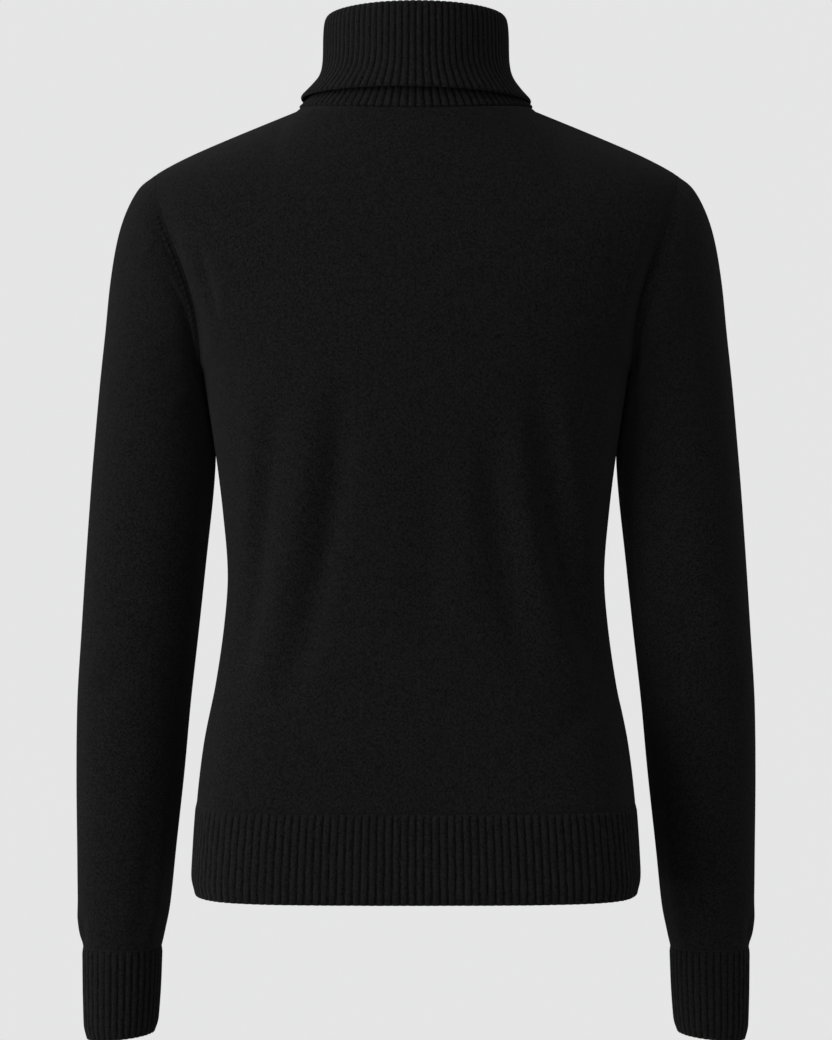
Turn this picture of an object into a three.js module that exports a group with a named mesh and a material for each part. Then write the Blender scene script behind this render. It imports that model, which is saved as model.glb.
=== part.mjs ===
// A fine-knit turtleneck sweater with set-in sleeves, filled out as when it is worn.
//
// Millimetres, +Z up, +X to the wearer's right, +Y to the wearer's front.
// The origin lies midway between the two points where a shoulder seam meets the collar.
// Each knitted piece is a thin wall between an outer and an inner face, made from rows of
// points that are worked out from the sizes below. Neighbours stop a seam's gap apart.

import * as THREE from "three";

// Cloth
const WALL = 2;
const SEAM_GAP = 0.3;
const RIDGE = 0.5;
const GROOVE = -0.5;
const PLY = 2.2;

// Levels
const HEM_Z = -579;
const HEM_TOP_Z = -515;
const UNDERARM_Z = -197;

// Ribs in each ribbed piece
const HEM_RIBS = 88;
const CUFF_RIBS = 36;
const COLLAR_RIBS = 88;

// Faces across and along each piece
const PANEL_COLUMNS = 36;
const BODY_ROWS = 10;
const YOKE_ROWS = 10;
const SLEEVE_SIDES = 20;
const COLLAR_SIDES = 32;

// How far a section fills out its corners: 0 is an ellipse.
const YOKE_SQUARE = 0.04;
const SLEEVE_SQUARE = 0.01;

// The body tube, from the hem up. Depths are measured from y = 0, and the side seam lies at seamY.
const BODY = table(
  ["z", "halfWidth", "back", "front", "seamY", "square"],
  [-579, 166.7, 117, 112, 0, 0.09],
  [-515, 162.8, 113, 108, -1, 0.085],
  [-471, 158, 106, 103, -2, 0.07],
  [-426, 149.3, 96, 99, -3, 0.05],
  [-381, 143, 87, 97, -4, 0.04],
  [-345, 140.7, 84, 98, -5, 0.04],
  [-300, 144.2, 87, 104, -6, 0.04],
  [-257, 149.4, 95, 113, -7, 0.04],
  [-225, 154.2, 101, 118, -8, 0.04],
  [-197, 158.5, 104, 119, -8, 0.04],
);

// The centre line of each panel above the underarm: share of the way up, height and depth.
const CENTRE_BACK = table(
  ["share", "z", "depth"],
  [0, -197, 104],
  [0.25, -155, 106],
  [0.5, -110, 102],
  [0.75, -58, 88],
  [1, -6.4, 66],
);
const CENTRE_FRONT = table(
  ["share", "z", "depth"],
  [0, -197, 119],
  [0.25, -162, 116],
  [0.5, -122, 106],
  [0.75, -78, 89],
  [1, -34.4, 70],
);

// The neckline, where the collar is linked on, and the shoulder seam.
const NECK = { halfWidth: 87, back: 66, front: 70, zBack: -6, zSide: 2, zFront: -34 };
const NECK_GAP = 0.4;
const SHOULDER_TIP = { x: 195, z: -48 };
const SHOULDER_ARCH = 0.1;
const NECK_SHARE = 8 / 18;
const SHOULDER_ANGLE = THREE.MathUtils.degToRad(62);
const SHOULDER_ROUNDING_FROM = 0.5;

// Sections of the sleeve, from the armhole to the cuff. Each is a ring through an outer and an inner point.
const SLEEVE = table(
  ["station", "outerX", "outerZ", "outerY", "innerX", "innerZ", "innerY", "depth", "bow"],
  [0, 195, -48, 0, 158.5, -197, -8, 60, 1],
  [1, 207, -58, 0, 158.8, -199, -6, 60, 0.9],
  [2, 217, -76, 1, 158.1, -203, -2, 59.5, 0.7],
  [3, 224, -98, 3, 157, -209, 3, 58.5, 0.5],
  [4, 229.5, -129, 6, 155.6, -218, 7, 57, 0.3],
  [5, 233.5, -165, 9, 153.9, -229, 10, 55.5, 0.1],
  [6, 237.5, -200, 11, 152, -243, 12, 54, 0],
  [7, 240.8, -233, 13, 151.2, -258, 13, 52.5, 0],
  [8, 244.8, -279, 14, 153.2, -288, 14, 50.5, 0],
  [9, 248.8, -335, 14, 158.4, -336, 14, 48.5, 0],
  [10, 252.3, -388, 15, 164, -388, 15, 46.5, 0],
  [11, 255.8, -442, 17, 170.2, -442, 17, 44, 0],
  [12, 256.9, -497, 20, 175.5, -497, 20, 41, 0],
  [13, 256.9, -553, 24, 181.9, -553, 24, 38, 0],
  [14, 256.7, -596, 27, 186.6, -596, 27, 35, 0],
  [15, 255, -617, 28, 190.6, -617, 28, 32, 0],
  [16, 253, -630, 29, 193.6, -630, 29, 29.5, 0],
);
const LAST_STATION = 16;
// From this section on, the points lie evenly round the sleeve instead of as they do at the armhole.
const EVEN_STATION = 6;
const ARMHOLE_BOW = { size: 7, skew: 0.7 };

// Sections of the cuff, from its seam down to its edge.
const CUFF = table(
  ["station", "outerX", "outerZ", "outerY", "innerX", "innerZ", "innerY", "depth", "bow"],
  [0, 253, -630.3, 29, 193.6, -630.3, 29, 29.5, 0],
  [1, 252.8, -665, 30, 195, -663, 30, 28.5, 0],
  [2, 252, -700, 31, 197.5, -695, 31, 27, 0],
);

// The middle of the collar's cloth, from the neck seam up the stand, over the fold and down to its edge.
const COLLAR = table(
  ["station", "halfWidth", "back", "front", "zBack", "zSide", "zFront"],
  [0, 86.6, 65.6, 69.6, -6, 2, -34],
  [1, 80.5, 64, 68, -1, 6, -27],
  [2, 72.5, 62, 66.5, 8, 14, -15],
  [3, 65, 60.5, 65, 22, 26, 2],
  [4, 62, 60, 64, 42, 42, 28],
  [5, 61.4, 60, 64.2, 62, 61, 50],
  [6, 62.4, 61, 65.2, 68.2, 67.2, 56.2],
  [7, 64.6, 63.2, 67.4, 70.5, 70, 59],
  [8, 66.9, 65.3, 69.7, 67.7, 66.8, 56.2],
  [9, 67.9, 66.2, 70.8, 56, 56, 45],
  [10, 68.4, 66.3, 71.2, 37, 37, 26],
  [11, 71, 67, 72.8, 26, 25.5, 12],
  [12, 77.4, 68.6, 76.2, 17, 16.5, 3],
  [13, 86, 70.4, 80.2, 8, 7.5, -8],
);
const COLLAR_EDGE = 13;
const COLLAR_LEAN = 1.5;

// Soft folds: troughs run from one height to another, bending through the middle x.
const BACK_FOLDS = table(
  ["x0", "z0", "xMid", "x1", "z1", "width", "depth"],
  [-100, -195, -116, -131, -385, 12, 2.6],
  [-68, -205, -76, -110, -432, 13, 3.6],
  [-14, -215, -15, -8, -415, 15, 1.3],
  [40, -235, 48, 65, -405, 13, 2.4],
  [82, -222, 106, 138, -432, 14, 4.2],
  [-158, -112, -152, -146, -168, 8, 2.6],
  [158, -112, 153, 148, -160, 8, 1.4],
);
const FRONT_FOLDS = table(
  ["x0", "z0", "xMid", "x1", "z1", "width", "depth"],
  [-92, -240, -106, -128, -420, 13, 3.2],
  [-48, -255, -54, -76, -405, 14, 2.2],
  [10, -262, 12, 16, -400, 15, 1.2],
  [58, -250, 66, 86, -412, 13, 2.6],
  [100, -236, 114, 134, -425, 13, 3.4],
  [152, -110, 148, 143, -165, 8, 2.2],
  [-152, -112, -148, -143, -160, 8, 1.8],
);

const CHARCOAL = { color: 0x17171a, roughness: 0.92, metalness: 0 };

// Rows of numbers become records with named columns.
function table(names, ...rows) {
  return rows.map((row) => Object.fromEntries(names.map((name, i) => [name, row[i]])));
}

// One column of a table, as a smooth curve over another, which rises down the table.
function curve(rows, over, column, at) {
  const last = rows.length - 1;
  let i = 0;
  while (i < last - 1 && at > rows[i + 1][over]) i += 1;
  const slope = (k) => {
    const a = rows[Math.max(k - 1, 0)];
    const b = rows[Math.min(k + 1, last)];
    return (b[column] - a[column]) / (b[over] - a[over]);
  };
  const [from, to] = [rows[i], rows[i + 1]];
  const span = to[over] - from[over];
  const s = THREE.MathUtils.clamp((at - from[over]) / span, 0, 1);
  return (
    from[column] * (1 + 2 * s) * (1 - s) ** 2 +
    to[column] * s * s * (3 - 2 * s) +
    span * (slope(i) * s * (1 - s) ** 2 - slope(i + 1) * s * s * (1 - s))
  );
}

// A quarter of a rounded section: 0 is its middle and a right angle its side.
function section(angle, square) {
  return {
    across: (Math.sin(angle) + square * Math.sin(3 * angle)) / (1 - square),
    deep: (Math.cos(angle) - square * Math.cos(3 * angle)) / (1 - square),
  };
}

// A ring of the sleeve or cuff. Angle 0 is its outer point, and angle PI its inner one.
function armRing(rows, station, hand, angle) {
  const value = (column) => curve(rows, "station", column, station);
  const { across, deep } = section(angle, SLEEVE_SQUARE);
  const share = (1 + deep) / 2;
  const mix = (inner, outer) => value(inner) + (value(outer) - value(inner)) * share;
  const middle = Math.max(0, 1 - deep * deep) ** 3;
  const bow = value("bow") * ARMHOLE_BOW.size * middle * (1 + ARMHOLE_BOW.skew * deep);
  return new THREE.Vector3(
    hand * (mix("innerX", "outerX") + bow),
    mix("innerY", "outerY") - value("depth") * across,
    mix("innerZ", "outerZ"),
  );
}

// The armhole's edge, from the underarm at share 0 to the shoulder at share 1.
function armholePoint(side, hand, share) {
  return armRing(SLEEVE, 0, hand, -side * Math.PI * (1 - share));
}

// Straight through the cloth at the armhole, towards the middle of the hole.
function armholeInward(point) {
  const middle = (SHOULDER_TIP.z + UNDERARM_Z) / 2;
  return new THREE.Vector3(0, -point.y, middle - point.z).normalize();
}

// The neckline: angle 0 is the centre back, a right angle the side and PI the centre front.
function neckPoint(angle) {
  const c = Math.cos(angle);
  const end = c > 0 ? NECK.zBack : NECK.zFront;
  const depth = c > 0 ? NECK.back : NECK.front;
  return new THREE.Vector3(
    NECK.halfWidth * Math.sin(angle),
    -depth * c,
    NECK.zSide + (end - NECK.zSide) * c * c,
  );
}

// The top edge of a panel: half the neckline, then the shoulder seam.
function topEdge(side, u) {
  const across = Math.abs(u);
  const hand = Math.sign(u) || 1;
  if (across <= NECK_SHARE) {
    const turn = ((across / NECK_SHARE) * Math.PI) / 2;
    const point = neckPoint(side < 0 ? turn : Math.PI - turn);
    return point.set(hand * point.x, point.y, point.z - NECK_GAP);
  }
  const s = (across - NECK_SHARE) / (1 - NECK_SHARE);
  const start = NECK.zSide - NECK_GAP;
  return new THREE.Vector3(
    hand * THREE.MathUtils.lerp(NECK.halfWidth, SHOULDER_TIP.x, s),
    0,
    start + (SHOULDER_TIP.z - start) * s * (1 - SHOULDER_ARCH + SHOULDER_ARCH * s ** 6),
  );
}

// How far the folds push a point of a panel inwards.
function foldDepth(folds, x, z) {
  let depth = 0;
  for (const fold of folds) {
    const s = (z - fold.z0) / (fold.z1 - fold.z0);
    if (s <= 0 || s >= 1) continue;
    const path = fold.x0 * (1 - s) ** 2 + 2 * fold.xMid * s * (1 - s) + fold.x1 * s * s;
    depth += fold.depth * Math.sin(Math.PI * s) ** 0.7 * Math.exp(-(((x - path) / fold.width) ** 2));
  }
  return depth;
}

// The outer face of the body below the underarm, which the hem continues.
function bodyPoint(side, u, z) {
  const value = (column) => curve(BODY, "z", column, z);
  const { across, deep } = section((Math.abs(u) * Math.PI) / 2, value("square"));
  const seamY = value("seamY");
  const depth = side * value(side < 0 ? "back" : "front");
  return new THREE.Vector3(
    Math.sign(u) * value("halfWidth") * across,
    seamY + (depth - seamY) * deep,
    z,
  );
}

// The outer face of a panel above the underarm, before its top is drawn to the neckline and shoulder.
function yokePoint(side, u, share) {
  const rows = side < 0 ? CENTRE_BACK : CENTRE_FRONT;
  const centreZ = curve(rows, "share", "z", share);
  const depth = side * curve(rows, "share", "depth", share);
  const hand = Math.sign(u) || 1;
  const edge = armholePoint(side, hand, share);
  const middleY = BODY.at(-1).seamY;
  const followed = Math.acos(THREE.MathUtils.clamp((edge.y - middleY) / (depth - middleY), 0, 1));
  const rising = THREE.MathUtils.smoothstep(share, 0.3, 0.7);
  const limit = THREE.MathUtils.lerp(followed, SHOULDER_ANGLE, rising);
  const here = section(Math.abs(u) * limit, YOKE_SQUARE);
  const end = section(limit, YOKE_SQUARE);
  const across = here.across / end.across;
  const deep = (here.deep - end.deep) / (1 - end.deep);
  return new THREE.Vector3(
    edge.x * across,
    edge.y + (depth - edge.y) * deep,
    centreZ + (edge.z - centreZ) * across * across,
  );
}

// The outer face of the front or back panel: u from -1 to 1 across, v from 0 at the hem's rib
// to 1 at the underarm and 2 at the shoulder.
function panelPoint(side, u, v) {
  let point;
  if (v <= 1) {
    point = bodyPoint(side, u, THREE.MathUtils.lerp(HEM_TOP_Z + SEAM_GAP, UNDERARM_Z, v));
  } else {
    const share = v - 1;
    point = yokePoint(side, u, share);
    const rise = Math.max(0, (share - SHOULDER_ROUNDING_FROM) / (1 - SHOULDER_ROUNDING_FROM));
    const pull = 1 - Math.sqrt(Math.max(0, 1 - rise * rise));
    point.addScaledVector(topEdge(side, u).sub(yokePoint(side, u, 1)), pull);
  }
  const halfWidth = curve(BODY, "z", "halfWidth", Math.min(point.z, UNDERARM_Z));
  const inward = new THREE.Vector3(-point.x / halfWidth ** 2, -point.y / 100 ** 2, 0).normalize();
  const folds = side < 0 ? BACK_FOLDS : FRONT_FOLDS;
  point.addScaledVector(inward, foldDepth(folds, point.x, point.z) * (1 - Math.abs(u) ** 8));
  return point;
}

// The outward normal of a face given by two parameters.
function normalOf(face, a, b, aRange, bRange, flip) {
  const step = 1e-3;
  const between = (value, [low, high]) => THREE.MathUtils.clamp(value, low, high);
  const alongA = face(between(a + step, aRange), b).sub(face(between(a - step, aRange), b));
  const alongB = face(a, between(b + step, bRange)).sub(face(a, between(b - step, bRange)));
  return alongA.cross(alongB).normalize().multiplyScalar(flip);
}

// Collects the rows of a closed wall and the faces between them.
class Skin {
  constructor() {
    this.points = [];
    this.faces = [];
  }

  row(points) {
    return points.map((point) => this.points.push(point) - 1);
  }

  // Faces between two rows, which may hold different numbers of points.
  band(low, high, closed) {
    const [a, b] = closed ? [[...low, low[0]], [...high, high[0]]] : [low, high];
    let [i, j] = [0, 0];
    while (i < a.length - 1 || j < b.length - 1) {
      const nextLow = (i + 1) / (a.length - 1);
      const nextHigh = (j + 1) / (b.length - 1);
      if (nextLow <= nextHigh) {
        this.faces.push([a[i], a[i + 1], b[j]]);
        i += 1;
      } else {
        this.faces.push([a[i], b[j + 1], b[j]]);
        j += 1;
      }
    }
  }

  // Rows that follow each other round the wall, the last one meeting the first.
  loop(rows, closed) {
    rows.forEach((row, i) => this.band(row, rows[(i + 1) % rows.length], closed));
  }

  // The two end faces of a wall whose rows are open.
  ends(outer, inner) {
    for (let i = 0; i < outer.length - 1; i += 1) {
      const first = [outer[i][0], outer[i + 1][0], inner[i + 1][0], inner[i][0]];
      const last = [outer[i], outer[i + 1], inner[i + 1], inner[i]].map((row) => row.at(-1));
      this.faces.push([first[0], first[1], first[2]], [first[0], first[2], first[3]]);
      this.faces.push([last[0], last[2], last[1]], [last[0], last[3], last[2]]);
    }
  }

  mesh(name) {
    const volume = this.faces.reduce((sum, [a, b, c]) => {
      const [p, q, r] = [this.points[a], this.points[b], this.points[c]];
      return sum + p.dot(q.clone().cross(r));
    }, 0);
    const faces = volume > 0 ? this.faces : this.faces.map(([a, b, c]) => [a, c, b]);
    const geometry = new THREE.BufferGeometry().setFromPoints(this.points);
    geometry.setIndex(faces.flat());
    geometry.computeVertexNormals();
    const made = new THREE.Mesh(geometry, new THREE.MeshStandardMaterial(CHARCOAL));
    made.name = name;
    return made;
  }
}

const steps = (count, from, to) =>
  Array.from({ length: count + 1 }, (_, i) => THREE.MathUtils.lerp(from, to, i / count));

// Shares of the way from underarm to shoulder, closer together where the shoulder rounds over.
const YOKE_SHARES = steps(YOKE_ROWS, 0, 1).map((s) => 1 - (1 - s) ** 1.5);

// Keeps a point on its own side of a side or shoulder seam.
function behindSeam(point, side, seamY) {
  const edge = seamY + (side * SEAM_GAP) / 2;
  point.y = side < 0 ? Math.min(point.y, edge) : Math.max(point.y, edge);
  return point;
}

function panel(side, name) {
  const face = (u, v) => panelPoint(side, u, v);
  const rows = [...steps(BODY_ROWS, 0, 1), ...YOKE_SHARES.slice(1).map((share) => 1 + share)];
  const columns = steps(PANEL_COLUMNS, -1, 1);
  const skin = new Skin();
  const outer = [];
  const inner = [];
  for (const v of rows) {
    const outerPoints = [];
    const innerPoints = [];
    for (const u of columns) {
      const point = face(u, v);
      const inward = normalOf(face, u, v, [-1, 1], [0, 2], side);
      const atSide = Math.abs(u) === 1;
      if (atSide && v <= 1) inward.set(-u, 0, 0);
      else if (atSide) inward.copy(armholeInward(point));
      else if (v === 2 && Math.abs(u) > NECK_SHARE) inward.set(0, 0, -1);
      else if (v === 2) inward.set(-point.x, -point.y, 0).normalize().add({ x: 0, y: 0, z: -1 });
      else if (v === 0) inward.setZ(0);
      inward.normalize();
      const within = point.clone().addScaledVector(inward, WALL);
      const onSeam = (atSide && v <= 1) || v === 2;
      if (onSeam) {
        const seamY = v === 2 ? 0 : curve(BODY, "z", "seamY", point.z);
        behindSeam(point, side, seamY);
        behindSeam(within, side, seamY);
      }
      outerPoints.push(point);
      innerPoints.push(within);
    }
    outer.push(skin.row(outerPoints));
    inner.push(skin.row(innerPoints));
  }
  skin.loop([...outer, ...inner.toReversed()], false);
  skin.ends(outer, inner);
  return skin.mesh(name);
}

// Parameters from -1 to 1 that divide a row into equal lengths.
function evenly(row, count) {
  const fine = 400;
  const samples = steps(fine, -1, 1);
  const lengths = [0];
  samples.slice(1).forEach((u, i) => lengths.push(lengths[i] + row(u).distanceTo(row(samples[i]))));
  let i = 0;
  return steps(count, 0, lengths.at(-1)).map((length) => {
    while (i < fine - 1 && lengths[i + 1] < length) i += 1;
    const share = (length - lengths[i]) / (lengths[i + 1] - lengths[i]);
    return THREE.MathUtils.lerp(samples[i], samples[i + 1], share);
  });
}

const ribHeight = (i) => (i % 2 ? RIDGE : GROOVE);

function hem(side, name) {
  const top = HEM_TOP_Z - SEAM_GAP / 2;
  const levels = [HEM_Z, (HEM_Z + top) / 2, top];
  const ribbed = evenly((u) => bodyPoint(side, u, levels[1]), 2 * HEM_RIBS);
  const plain = ribbed.filter((_, i) => i % 2 === 0);
  const face = (u, z) => bodyPoint(side, u, z);
  const pointsAt = (z, places, heightOf) =>
    places.map((u, i) => {
      const inward = normalOf(face, u, z, [-1, 1], [HEM_Z, HEM_TOP_Z], side).setZ(0).normalize();
      const point = face(u, z).addScaledVector(inward, -heightOf(i));
      return Math.abs(u) === 1 ? behindSeam(point, side, curve(BODY, "z", "seamY", z)) : point;
    });
  const skin = new Skin();
  const outer = levels.map((z) => skin.row(pointsAt(z, ribbed, ribHeight)));
  const inner = levels.map((z) => skin.row(pointsAt(z, plain, () => -WALL)));
  skin.loop([...outer, ...inner.toReversed()], false);
  skin.ends(outer, inner);
  return skin.mesh(name);
}

function sleeve(hand, name) {
  const face = (angle, station) => armRing(SLEEVE, station, hand, angle);
  const ends = [0, LAST_STATION];
  const even = steps(SLEEVE_SIDES, 0, 2 * Math.PI).slice(0, -1);
  const seam = YOKE_SHARES.map((share) => Math.PI * (1 - share));
  const armhole = [...seam.toReversed(), ...seam.slice(1, -1).map((angle) => 2 * Math.PI - angle)];
  const skin = new Skin();
  const outer = [];
  const inner = [];
  for (let station = 0; station <= LAST_STATION; station += 1) {
    const outerPoints = [];
    const innerPoints = [];
    const settled = Math.min(1, station / EVEN_STATION);
    for (const [i, start] of armhole.entries()) {
      const angle = THREE.MathUtils.lerp(start, even[i], settled);
      const point = face(angle, station);
      const inward = normalOf(face, angle, station, [-1, 7], ends, -hand);
      if (station === 0) inward.copy(armholeInward(point));
      if (station === LAST_STATION) inward.setZ(0).normalize();
      if (station === 0) point.x += hand * SEAM_GAP;
      outerPoints.push(point);
      innerPoints.push(point.clone().addScaledVector(inward, WALL));
    }
    outer.push(skin.row(outerPoints));
    inner.push(skin.row(innerPoints));
  }
  skin.loop([...outer, ...inner.toReversed()], true);
  return skin.mesh(name);
}

function cuff(hand, name) {
  const face = (angle, station) => armRing(CUFF, station, hand, angle);
  const turn = 2 * Math.PI;
  const ribbed = steps(2 * CUFF_RIBS, 0, turn).slice(0, -1);
  const plain = ribbed.filter((_, i) => i % 2 === 0);
  const pointsAt = (station, angles, heightOf) =>
    angles.map((angle, i) => {
      const inward = normalOf(face, angle, station, [-1, 7], [0, 2], -hand).setZ(0).normalize();
      return face(angle, station).addScaledVector(inward, -heightOf(i));
    });
  const skin = new Skin();
  const outer = [0, 1, 2].map((station) => skin.row(pointsAt(station, ribbed, ribHeight)));
  const inner = [0, 1, 2].map((station) => skin.row(pointsAt(station, plain, () => -WALL)));
  skin.loop([...outer, ...inner.toReversed()], true);
  return skin.mesh(name);
}

// The middle of the collar's cloth. Angle 0 is the centre back.
function collarPoint(angle, station) {
  const value = (column) => curve(COLLAR, "station", column, station);
  const c = Math.cos(angle);
  const side = value("zSide");
  const end = value(c > 0 ? "zBack" : "zFront");
  const lean = COLLAR_LEAN * THREE.MathUtils.smoothstep(station, COLLAR_EDGE - 3, COLLAR_EDGE);
  return new THREE.Vector3(
    value("halfWidth") * Math.sin(angle),
    -value(c > 0 ? "back" : "front") * c,
    side + (end - side) * c * c - lean * Math.sin(angle),
  );
}

function collar(name) {
  const turn = 2 * Math.PI;
  const plain = steps(COLLAR_SIDES, 0, turn).slice(0, -1);
  const ribbed = steps(2 * COLLAR_RIBS, 0, turn).slice(0, -1);
  const skin = new Skin();
  // A row on the face that turns outwards on the stand (+1), or on the one that shows once folded (-1).
  const row = (station, facing, angles) =>
    skin.row(
      angles.map((angle, i) => {
        const normal = normalOf(collarPoint, angle, station, [-1, 7], [0, COLLAR_EDGE], facing);
        if (station === 0) normal.set(Math.sin(angle), -Math.cos(angle), 1).normalize().multiplyScalar(facing);
        const height = angles === ribbed ? ribHeight(i) : 0;
        return collarPoint(angle, station).addScaledVector(normal, PLY / 2 + height);
      }),
    );
  const shown = [
    ...[0, 2, 3, 5, 6].map((station) => row(station, -1, plain)),
    ...[7, 8, 10, 11, 12, 13].map((station) => row(station, -1, ribbed)),
  ];
  const hidden = [
    ...[13, 12, 11, 10, 8.5, 7, 5.5, 4, 3].map((station) => row(station, 1, plain)),
    ...[2, 1, 0].map((station) => row(station, 1, ribbed)),
  ];
  skin.loop([...shown, ...hidden], true);
  return skin.mesh(name);
}

const sweater = new THREE.Group();
sweater.add(
  panel(-1, "back_panel"),
  panel(1, "front_panel"),
  hem(-1, "hem_rib_back"),
  hem(1, "hem_rib_front"),
  sleeve(-1, "left_sleeve"),
  sleeve(1, "right_sleeve"),
  cuff(-1, "left_cuff"),
  cuff(1, "right_cuff"),
  collar("collar"),
);

export default sweater;
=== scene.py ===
import math

import bmesh
import bpy
import mathutils
import numpy as np
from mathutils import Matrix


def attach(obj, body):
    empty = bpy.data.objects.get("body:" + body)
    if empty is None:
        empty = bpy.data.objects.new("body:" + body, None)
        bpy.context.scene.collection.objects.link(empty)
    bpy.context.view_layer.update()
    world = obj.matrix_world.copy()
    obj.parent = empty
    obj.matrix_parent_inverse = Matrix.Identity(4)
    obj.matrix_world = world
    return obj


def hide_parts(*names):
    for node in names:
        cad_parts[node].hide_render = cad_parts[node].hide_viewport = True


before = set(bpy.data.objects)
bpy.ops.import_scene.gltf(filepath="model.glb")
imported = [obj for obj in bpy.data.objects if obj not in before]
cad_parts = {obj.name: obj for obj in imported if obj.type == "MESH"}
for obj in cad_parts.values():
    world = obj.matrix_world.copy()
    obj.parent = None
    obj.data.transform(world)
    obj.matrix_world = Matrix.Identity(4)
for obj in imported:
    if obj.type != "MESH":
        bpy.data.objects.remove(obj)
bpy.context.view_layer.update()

# Camera
# Level with the sweater's waist and 2 m behind it, with a long lens. One pixel of the
# 832 by 1040 view is 0.75 mm wide in the plane of the shoulder seams.

camera = bpy.data.objects.new("camera", bpy.data.cameras.new("camera"))
bpy.context.collection.objects.link(camera)
camera.location = (0, -2.0, -0.306)
camera.rotation_euler = (math.radians(90), 0, 0)
camera.data.sensor_width = 36
camera.data.lens = 92.3
camera.data.clip_end = 50
bpy.context.scene.camera = camera
bpy.context.scene.view_settings.view_transform = "Standard"

# Back and front panels
# Two pieces of plain fine knit, shaped at the sides and the armholes on the knitting machine,
# and linked together at the shoulders and down the sides. Sizes are in millimetres, from the
# level of the neck seam.

MM = 0.001
HEM_Z = -579
HEM_TOP_Z = -515
UNDERARM_Z = -197


def table(names, *rows):
    """Rows of numbers become one array for each named column."""
    return dict(zip(names.split(), np.array(rows, float).T))


def curve(rows, over, column, at):
    """A smooth curve of one column over another, which rises down the table."""
    x, y = rows[over], rows[column]
    i = np.clip(np.searchsorted(x, at, "right") - 1, 0, len(x) - 2)
    before, after = np.maximum(i - 1, 0), np.minimum(i + 2, len(x) - 1)
    span = x[i + 1] - x[i]
    slope_a = (y[i + 1] - y[before]) / (x[i + 1] - x[before])
    slope_b = (y[after] - y[i]) / (x[after] - x[i])
    s = np.clip((at - x[i]) / span, 0, 1)
    return (
        y[i] * (1 + 2 * s) * (1 - s) ** 2
        + y[i + 1] * s * s * (3 - 2 * s)
        + span * (slope_a * s * (1 - s) ** 2 - slope_b * s * s * (1 - s))
    )


def smooth(x, low, high):
    """A share that eases from 0 at low to 1 at high."""
    s = np.clip((x - low) / (high - low), 0, 1)
    return s * s * (3 - 2 * s)


def section(angle, square):
    """A quarter of a rounded section: 0 is its middle and a right angle its side."""
    across = (np.sin(angle) + square * np.sin(3 * angle)) / (1 - square)
    deep = (np.cos(angle) - square * np.cos(3 * angle)) / (1 - square)
    return across, deep


# The sleeve's sections, of which the first is the armhole that the panels are joined to.
SLEEVE = table(
    "station outer_x outer_z outer_y inner_x inner_z inner_y depth bow",
    [0, 195, -48, 0, 158.5, -197, -8, 60, 1],
    [1, 207, -58, 0, 158.8, -199, -6, 60, 0.9],
    [2, 217, -76, 1, 158.1, -203, -2, 59.5, 0.7],
    [3, 224, -98, 3, 157, -209, 3, 58.5, 0.5],
    [4, 229.5, -129, 6, 155.6, -218, 7, 57, 0.3],
    [5, 233.5, -165, 9, 153.9, -229, 10, 55.5, 0.1],
    [6, 237.5, -200, 11, 152, -243, 12, 54, 0],
    [7, 240.8, -233, 13, 151.2, -258, 13, 52.5, 0],
    [8, 244.8, -279, 14, 153.2, -288, 14, 50.5, 0],
    [9, 248.8, -335, 14, 158.4, -336, 14, 48.5, 0],
    [10, 252.3, -388, 15, 164, -388, 15, 46.5, 0],
    [11, 255.8, -442, 17, 170.2, -442, 17, 44, 0],
    [12, 256.9, -497, 20, 175.5, -497, 20, 41, 0],
    [13, 256.9, -553, 24, 181.9, -553, 24, 38, 0],
    [14, 256.7, -596, 27, 186.6, -596, 27, 35, 0],
    [15, 255, -617, 28, 190.6, -617, 28, 32, 0],
    [16, 253, -630, 29, 193.6, -630, 29, 29.5, 0],
)
ARM_SQUARE = 0.01
ARMHOLE_BOW = 7
ARMHOLE_SKEW = 1.2


def arm_ring(rows, station, hand, angle):
    """A ring of the sleeve or cuff. Angle 0 is its outer point, and pi its inner one."""
    across, deep = section(angle, ARM_SQUARE)
    value = {name: curve(rows, "station", name, station) for name in rows}
    share = (1 + deep) / 2

    def mix(axis):
        return value["inner_" + axis] + (value["outer_" + axis] - value["inner_" + axis]) * share

    middle = np.maximum(0, 1 - deep * deep) ** 1.5
    bow = value["bow"] * ARMHOLE_BOW * middle * (1 - ARMHOLE_SKEW * deep)
    return np.stack([hand * (mix("x") - bow), mix("y") - value["depth"] * across, mix("z")], -1)


def armhole_point(side, hand, share):
    """The armhole's edge, from the underarm at share 0 to the shoulder at share 1."""
    return arm_ring(SLEEVE, np.zeros_like(share), hand, -side * np.pi * (1 - share))


# Sections of the body, from the hem up to the underarm.
BODY = table(
    "z half_width back front seam_y square",
    [-579, 166.7, 117, 112, 0, 0.09],
    [-515, 162.8, 113, 108, -1, 0.085],
    [-471, 158, 106, 103, -2, 0.07],
    [-426, 149.3, 96, 99, -3, 0.05],
    [-381, 143, 87, 97, -4, 0.04],
    [-345, 140.7, 84, 98, -5, 0.04],
    [-300, 144.2, 87, 104, -6, 0.04],
    [-257, 149.4, 95, 113, -7, 0.04],
    [-225, 154.2, 101, 118, -8, 0.04],
    [-197, 158.5, 104, 119, -8, 0.04],
)
# Middle lines of the panels above the underarm.
CENTRE_BACK = table(
    "share z depth",
    [0, -197, 104],
    [0.25, -155, 106],
    [0.5, -110, 102],
    [0.75, -58, 88],
    [1, -6.4, 66],
)
CENTRE_FRONT = table(
    "share z depth",
    [0, -197, 119],
    [0.25, -162, 116],
    [0.5, -122, 106],
    [0.75, -78, 89],
    [1, -34.4, 70],
)
NECK = dict(half_width=87, back=66, front=70, z_back=-6, z_side=2, z_front=-34, gap=0.4)
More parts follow.
